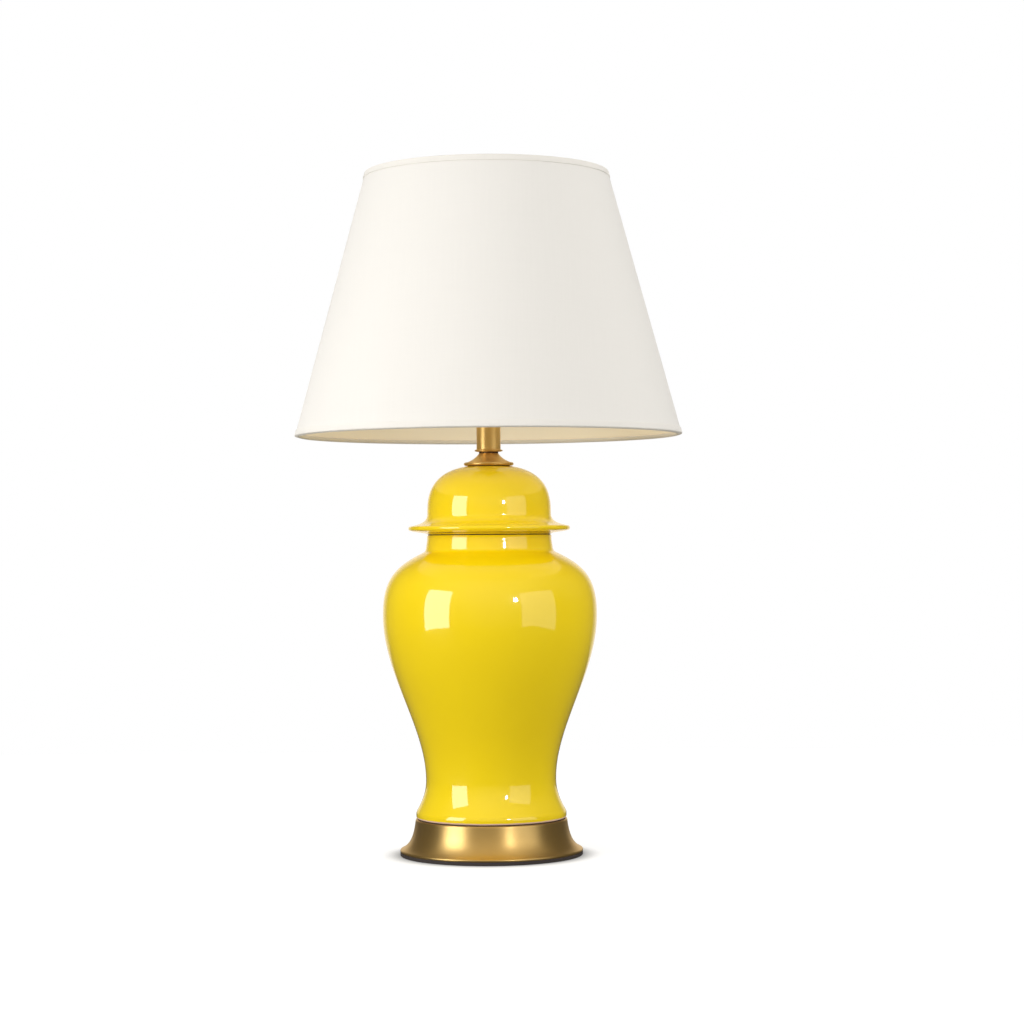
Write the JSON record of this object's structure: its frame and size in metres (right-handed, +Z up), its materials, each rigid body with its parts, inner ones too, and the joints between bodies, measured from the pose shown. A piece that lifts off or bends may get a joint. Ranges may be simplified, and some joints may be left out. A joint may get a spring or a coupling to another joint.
{
  "type": "table lamp with shade",
  "caption": "Table lamp: glazed ceramic temple jar with lid on a flared brass base, brass neck, switched socket with bulb and harp, and a tapered hardback fabric shade with rolled hems.",
  "frame": {"origin": "centre of the round foot, on the surface that the lamp stands on", "axes": "+Z up along the lamp; the cord inlet faces +Y and the turn switch faces -Y, so a viewer in front looks along +Y; the harp lies in the XZ plane"},
  "size_m": [0.3602, 0.3602, 0.6441],
  "materials": {
    "foot_foam": "matt closed-cell foam",
    "zinc_steel": "zinc plated",
    "dark_steel": "blackened",
    "satin_brass": "spun, satin lacquered",
    "raw_brass": "bright dipped",
    "cast_iron": "as cast, painted grey",
    "black_rubber": "moulded",
    "cream_nylon": "moulded nylon",
    "brown_lead": "PVC insulation",
    "blue_lead": "PVC insulation",
    "earth_lead": "PVC insulation with a yellow stripe",
    "dark_cork": "rubberised cork",
    "yellow_glaze": "gloss glaze over a pale body",
    "brown_bakelite": "moulded phenolic",
    "brown_card": "pressed insulating card",
    "black_plastic": "moulded",
    "tin_solder": "solder",
    "black_vitrite": "black insulating glass",
    "nickel_cap": "nickel plated",
    "white_plastic": "moulded",
    "white_board": "white solder mask on aluminium",
    "opal_diffuser": "opal polycarbonate",
    "shade_lining": "translucent styrene",
    "shade_cloth": "off-white slub linen weave",
    "shade_hem": "off-white rolled hem"
  },
  "bodies": {
    "lamp": {"foot_pad": "foot_foam", "base_plate": "zinc_steel", "plate_screws": "zinc_steel", "base_shell": "satin_brass", "base_weight": "cast_iron", "cord_grommet": "black_rubber", "terminal_block": "cream_nylon", "block_screws": "zinc_steel", "clamp_screws": "zinc_steel", "live_lead": "brown_lead", "neutral_lead": "blue_lead", "earth_lead": "earth_lead", "earth_tag": "raw_brass", "rod_nut": "zinc_steel", "lock_washer": "zinc_steel", "threaded_rod": "raw_brass", "jar_gasket": "dark_cork", "jar_body": "yellow_glaze", "lid_gasket": "dark_cork", "jar_lid": "yellow_glaze", "cap_gasket": "dark_cork", "vase_cap": "satin_brass", "star_washer": "dark_steel", "neck_collar": "satin_brass", "neck_tube": "satin_brass", "harp_saddle": "raw_brass", "saddle_nut": "raw_brass", "socket_cup": "raw_brass", "cup_setscrew": "zinc_steel", "socket_block": "brown_bakelite", "socket_terminals": "raw_brass", "screw_shell": "raw_brass", "centre_contact": "raw_brass", "socket_liner": "brown_card", "socket_shell": "raw_brass"},
    "switch": {"switch_shaft": "zinc_steel", "switch_knob": "black_plastic"},
    "bulb": {"bulb_contact": "tin_solder", "bulb_insulator": "black_vitrite", "bulb_cap": "nickel_cap", "bulb_housing": "white_plastic", "led_board": "white_board", "bulb_diffuser": "opal_diffuser"},
    "harp": {"harp_wire": "raw_brass", "harp_seat": "raw_brass"},
    "ferrule_left": {"ferrule_left": "raw_brass"},
    "ferrule_right": {"ferrule_right": "raw_brass"},
    "shade_washer": {"shade_washer": "raw_brass"},
    "shade": {"spider": "raw_brass", "bottom_ring": "dark_steel", "shade_liner": "shade_lining", "shade_cover": "shade_cloth", "top_hem": "shade_hem", "bottom_hem": "shade_hem"},
    "finial_washer": {"finial_washer": "raw_brass"},
    "finial": {"finial": "satin_brass"}
  },
  "joints": [
    {"name": "switch_turn", "type": "hinge", "parent": "lamp", "child": "switch", "pos_m": [0, -0.02, 0.452], "axis": [0, -1, 0], "continuous": true},
    {"name": "bulb_out", "type": "slide", "parent": "lamp", "child": "bulb", "axis": [0, 0, 1], "range_m": [0, 0.028]},
    {"name": "harp_lift", "type": "slide", "parent": "lamp", "child": "harp", "axis": [0, 0, 1], "range_m": [0, 0.012]},
    {"name": "ferrule_left_lift", "type": "slide", "parent": "harp", "child": "ferrule_left", "axis": [0, 0, 1], "range_m": [0, 0.0115]},
    {"name": "ferrule_right_lift", "type": "slide", "parent": "harp", "child": "ferrule_right", "axis": [0, 0, 1], "range_m": [0, 0.0115]},
    {"name": "shade_lift", "type": "slide", "parent": "harp", "child": "shade_washer", "axis": [0, 0, 1], "range_m": [0, 0.25]},
    {"name": "shade_turn", "type": "hinge", "parent": "shade_washer", "child": "shade", "pos_m": [0, 0, 0.616], "axis": [0, 0, 1], "continuous": true},
    {"name": "finial_turn", "type": "hinge", "parent": "finial_washer", "child": "finial", "pos_m": [0, 0, 0.63], "axis": [0, 0, 1], "range_deg": [0, 4320]},
    {"name": "finial_rise", "type": "slide", "parent": "shade_washer", "child": "finial_washer", "axis": [0, 0, 1], "range_m": [0, 0.01128]}
  ],
  "couplings": [
    {"joint": "finial_turn", "follows": "finial_rise", "rad_per_m": 6679.1}
  ]
}
